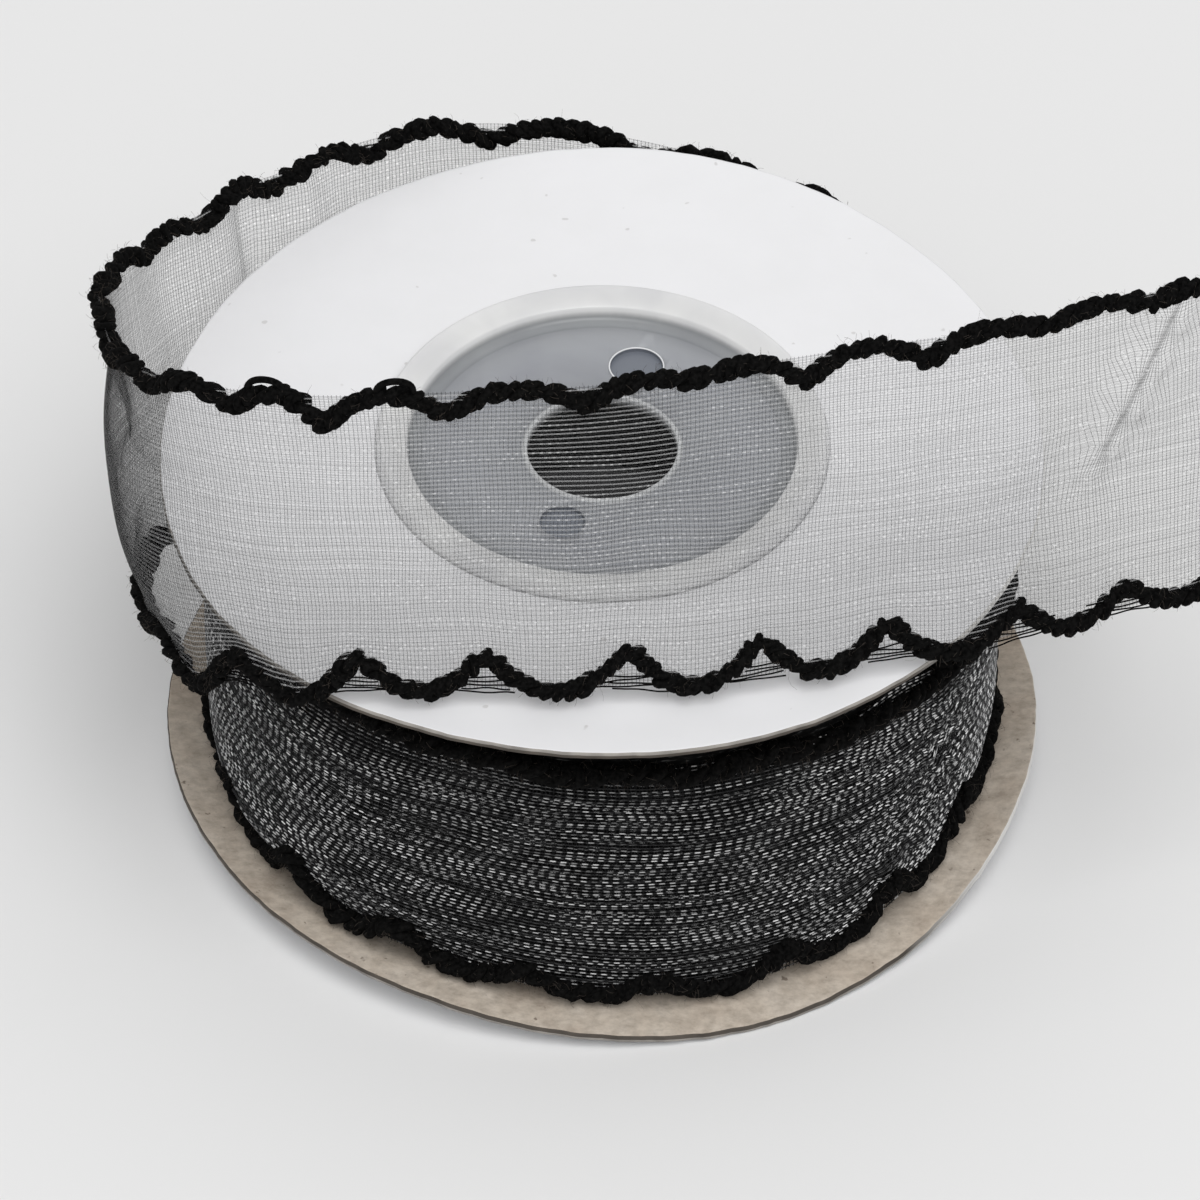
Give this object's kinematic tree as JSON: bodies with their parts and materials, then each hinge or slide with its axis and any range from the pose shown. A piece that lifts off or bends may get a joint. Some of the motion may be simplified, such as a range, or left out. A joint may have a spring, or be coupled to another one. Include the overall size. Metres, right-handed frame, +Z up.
{
  "type": "roll of organza ribbon",
  "caption": "Flat-lying spool of sheer organza ribbon with crocheted yarn edges; its loose end stands on edge across the upper board.",
  "frame": {"origin": "under the middle of the part's box, on the surface that the spool lies on", "axes": "+Z up along the spool's axis, +X to the right in the picture, where the cut end hangs, +Y away from the viewer"},
  "size_m": [0.115, 0.0914, 0.0763],
  "materials": {
    "paper_board": "smooth white paper on chipboard",
    "chipboard": "raw grey-beige chipboard",
    "hub_plastic": "frosted translucent moulding",
    "organza": "sheer plain weave of fine black thread",
    "yarn": "crocheted fuzzy black yarn"
  },
  "bodies": {
    "root": {"board_upper": "paper_board", "board_lower": "chipboard", "hub_upper": "hub_plastic", "hub_lower": "hub_plastic", "winding": "organza", "winding_edging_lower": "yarn", "winding_edging_upper": "yarn", "loose_end": "organza", "loose_edging_lower": "yarn", "loose_edging_upper": "yarn"}
  },
  "joints": []
}
